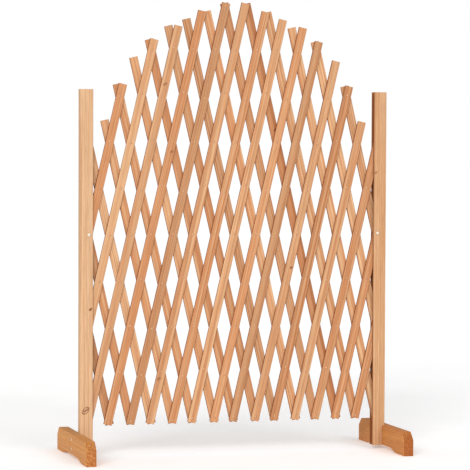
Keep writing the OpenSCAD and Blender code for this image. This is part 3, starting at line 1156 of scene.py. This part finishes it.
class TRELLIS_OT_foot_screws(Operator):
    """Model the countersunk screws that hold the feet to the posts"""

    bl_idname = "trellis.foot_screws"
    bl_label = "Foot Screws"

    def execute(self, context):
        sizes = context.scene.trellis_fasteners
        for side in SIDES:
            node = f"{side}_foot_screws"
            shapes = [move(self.screw(box, sizes), screw_place(box, side)) for box in solids(node)]
            finish_fastener(joined(shapes), node)
        return {"FINISHED"}

    def screw(self, box, sizes):
        """A screw along Z, its cross-slotted head at z = 0 and its point last."""
        size = box[1] - box[0]
        head = size.z / 2
        length = size.x
        shank = sizes.screw_shank / 2
        core = SCREW_CORE * shank
        start = sizes.screw_head + SCREW_NECK
        end = length - sizes.screw_point
        profile = [(0.0, 0.0), (head - SCREW_RIM[0], 0.0), (head, SCREW_RIM[1])]
        profile += [(shank, sizes.screw_head), (core, start)]
        for k in range(int((end - start) / sizes.screw_pitch)):
            for place, crest in SCREW_THREAD:
                profile.append((shank if crest else core, start + (k + place) * sizes.screw_pitch))
        profile += [(core, end), (0.0, length)]
        shape = turned(profile, sizes.round_sides)
        for quarter in range(2):
            shape = combined(shape, self.slot(head, quarter))
        return shape

    def slot(self, head, quarter):
        """A tapered blade that cuts one arm of the cross slot."""
        length, width = (share * head for share in SLOT_SHARES)
        blade = cuboid((length, width, SLOT_DEPTH))
        deep = [v for v in blade.verts if v.co.z > 0]
        bmesh.ops.scale(blade, vec=SLOT_TAPER, verts=deep)
        return move(blade, Matrix.Rotation(quarter * math.pi / 2, 4, "Z"))


# Stage


def camera_matrix(stage):
    """Place and direction of the camera."""
    heading, tilt, roll = stage.heading, stage.tilt, stage.roll
    ahead = Vector((math.sin(heading) * math.cos(tilt), math.cos(heading) * math.cos(tilt), -math.sin(tilt)))
    level = Vector((math.cos(heading), -math.sin(heading), 0.0))
    upward = level.cross(ahead)
    right = level * math.cos(roll) + upward * math.sin(roll)
    up = upward * math.cos(roll) - level * math.sin(roll)
    matrix = Matrix((right, up, -ahead)).transposed().to_4x4()
    matrix.translation = (
        -stage.distance * math.sin(stage.bearing),
        -stage.distance * math.cos(stage.bearing),
        stage.height,
    )
    return matrix


class TRELLIS_OT_stage(Operator):
    """Set up the pale floor, the soft light and the camera"""

    bl_idname = "trellis.stage"
    bl_label = "Stage"

    def execute(self, context):
        scene = context.scene
        stage = scene.trellis_stage
        scene.view_settings.view_transform = "Standard"
        self.floor(scene, stage)
        self.room_light(scene, stage)
        self.soft_light("left_light", stage.key_strength, stage.key_spread, LEFT_LIGHT)
        self.soft_light("right_light", stage.fill_strength, stage.key_spread, RIGHT_LIGHT)
        camera = add_object("camera", bpy.data.cameras.new("camera"))
        camera.data.lens = stage.lens
        camera.data.clip_end = 4 * stage.floor_reach
        camera.matrix_world = camera_matrix(stage)
        scene.camera = camera
        return {"FINISHED"}

    def floor(self, scene, stage):
        """A wide floor with a faint mottle."""
        shape = bmesh.new()
        bmesh.ops.create_grid(shape, x_segments=1, y_segments=1, size=stage.floor_reach)
        floor = add_object("floor", mesh_of(shape, "floor"))
        material, tree = new_material("pale_floor")
        place = add_node(tree, "ShaderNodeTexCoord").outputs["Object"]
        mottled = (0.3, 0.7, 0.97, 1.0)
        mottle = ease(tree, stretched_noise(tree, place, MOTTLE_GRAIN), *mottled)
        colour = scene.trellis_finishes.floor
        surface = {
            "Base Color": shaded(tree, colour, mottle, mottle, mottle),
            "Roughness": FLOOR_ROUGHNESS,
            "Specular IOR Level": FLOOR_SHINE,
            "Emission Color": colour,
            "Emission Strength": stage.floor_glow,
        }
        add_surface(tree, surface)
        floor.data.materials.append(material)

    def room_light(self, scene, stage):
        """An even light all round that shows as a white backdrop."""
        world = bpy.data.worlds.new("room")
        scene.world = world
        world.use_nodes = True
        tree = world.node_tree
        tree.nodes.clear()
        backdrop = scene.trellis_finishes.backdrop
        light = add_node(tree, "ShaderNodeBackground", {"Color": backdrop, "Strength": stage.ambient})
        seen = add_node(tree, "ShaderNodeBackground", {"Color": backdrop, "Strength": 1.0})
        ray = add_node(tree, "ShaderNodeLightPath").outputs["Is Camera Ray"]
        mixed = add_node(tree, "ShaderNodeMixShader", {0: ray, 1: light.outputs[0], 2: seen.outputs[0]})
        add_node(tree, "ShaderNodeOutputWorld", {0: mixed.outputs[0]})

    def soft_light(self, name, strength, spread, toward):
        """A large soft light high in front of the panel."""
        sun = bpy.data.lights.new(name, "SUN")
        sun.energy = strength
        sun.angle = spread
        light = add_object(name, sun)
        light.rotation_euler = Vector(toward).to_track_quat("-Z", "Y").to_euler()


class TRELLIS_PT_sidebar(Panel):
    """Steps and settings of the trellis"""

    bl_label = "Trellis"
    bl_idname = "TRELLIS_PT_sidebar"
    bl_space_type = "VIEW_3D"
    bl_region_type = "UI"
    bl_category = "Trellis"

    def draw(self, context):
        for step in STEPS:
            self.layout.operator(step.bl_idname)
        for label in SETTINGS:
            group = getattr(context.scene, label)
            box = self.layout.box()
            for name in group.__annotations__:
                box.prop(group, name)


STEPS = (
    TRELLIS_OT_stage,
    TRELLIS_OT_laths,
    TRELLIS_OT_posts,
    TRELLIS_OT_feet,
    TRELLIS_OT_rivets,
    TRELLIS_OT_pivot_bolts,
    TRELLIS_OT_pivot_washers,
    TRELLIS_OT_pivot_nuts,
    TRELLIS_OT_foot_screws,
)
SETTINGS = {
    "trellis_boards": TrellisBoards,
    "trellis_fasteners": TrellisFasteners,
    "trellis_finishes": TrellisFinishes,
    "trellis_stage": TrellisStage,
}


def register():
    """Adds the settings, the steps and the sidebar."""
    for label, group in SETTINGS.items():
        bpy.utils.register_class(group)
        setattr(bpy.types.Scene, label, PointerProperty(type=group))
    for kind in (*STEPS, TRELLIS_PT_sidebar):
        bpy.utils.register_class(kind)


def unregister():
    """Takes them all away again."""
    for kind in (TRELLIS_PT_sidebar, *reversed(STEPS)):
        bpy.utils.unregister_class(kind)
    for label, group in SETTINGS.items():
        delattr(bpy.types.Scene, label)
        bpy.utils.unregister_class(group)


def main():
    """Builds the whole trellis."""
    register()
    bpy.ops.trellis.stage()
    bpy.ops.trellis.laths()
    bpy.ops.trellis.posts()
    bpy.ops.trellis.feet()
    bpy.ops.trellis.rivets()
    bpy.ops.trellis.pivot_bolts()
    bpy.ops.trellis.pivot_washers()
    bpy.ops.trellis.pivot_nuts()
    bpy.ops.trellis.foot_screws()


if __name__ == "__main__":
    main()
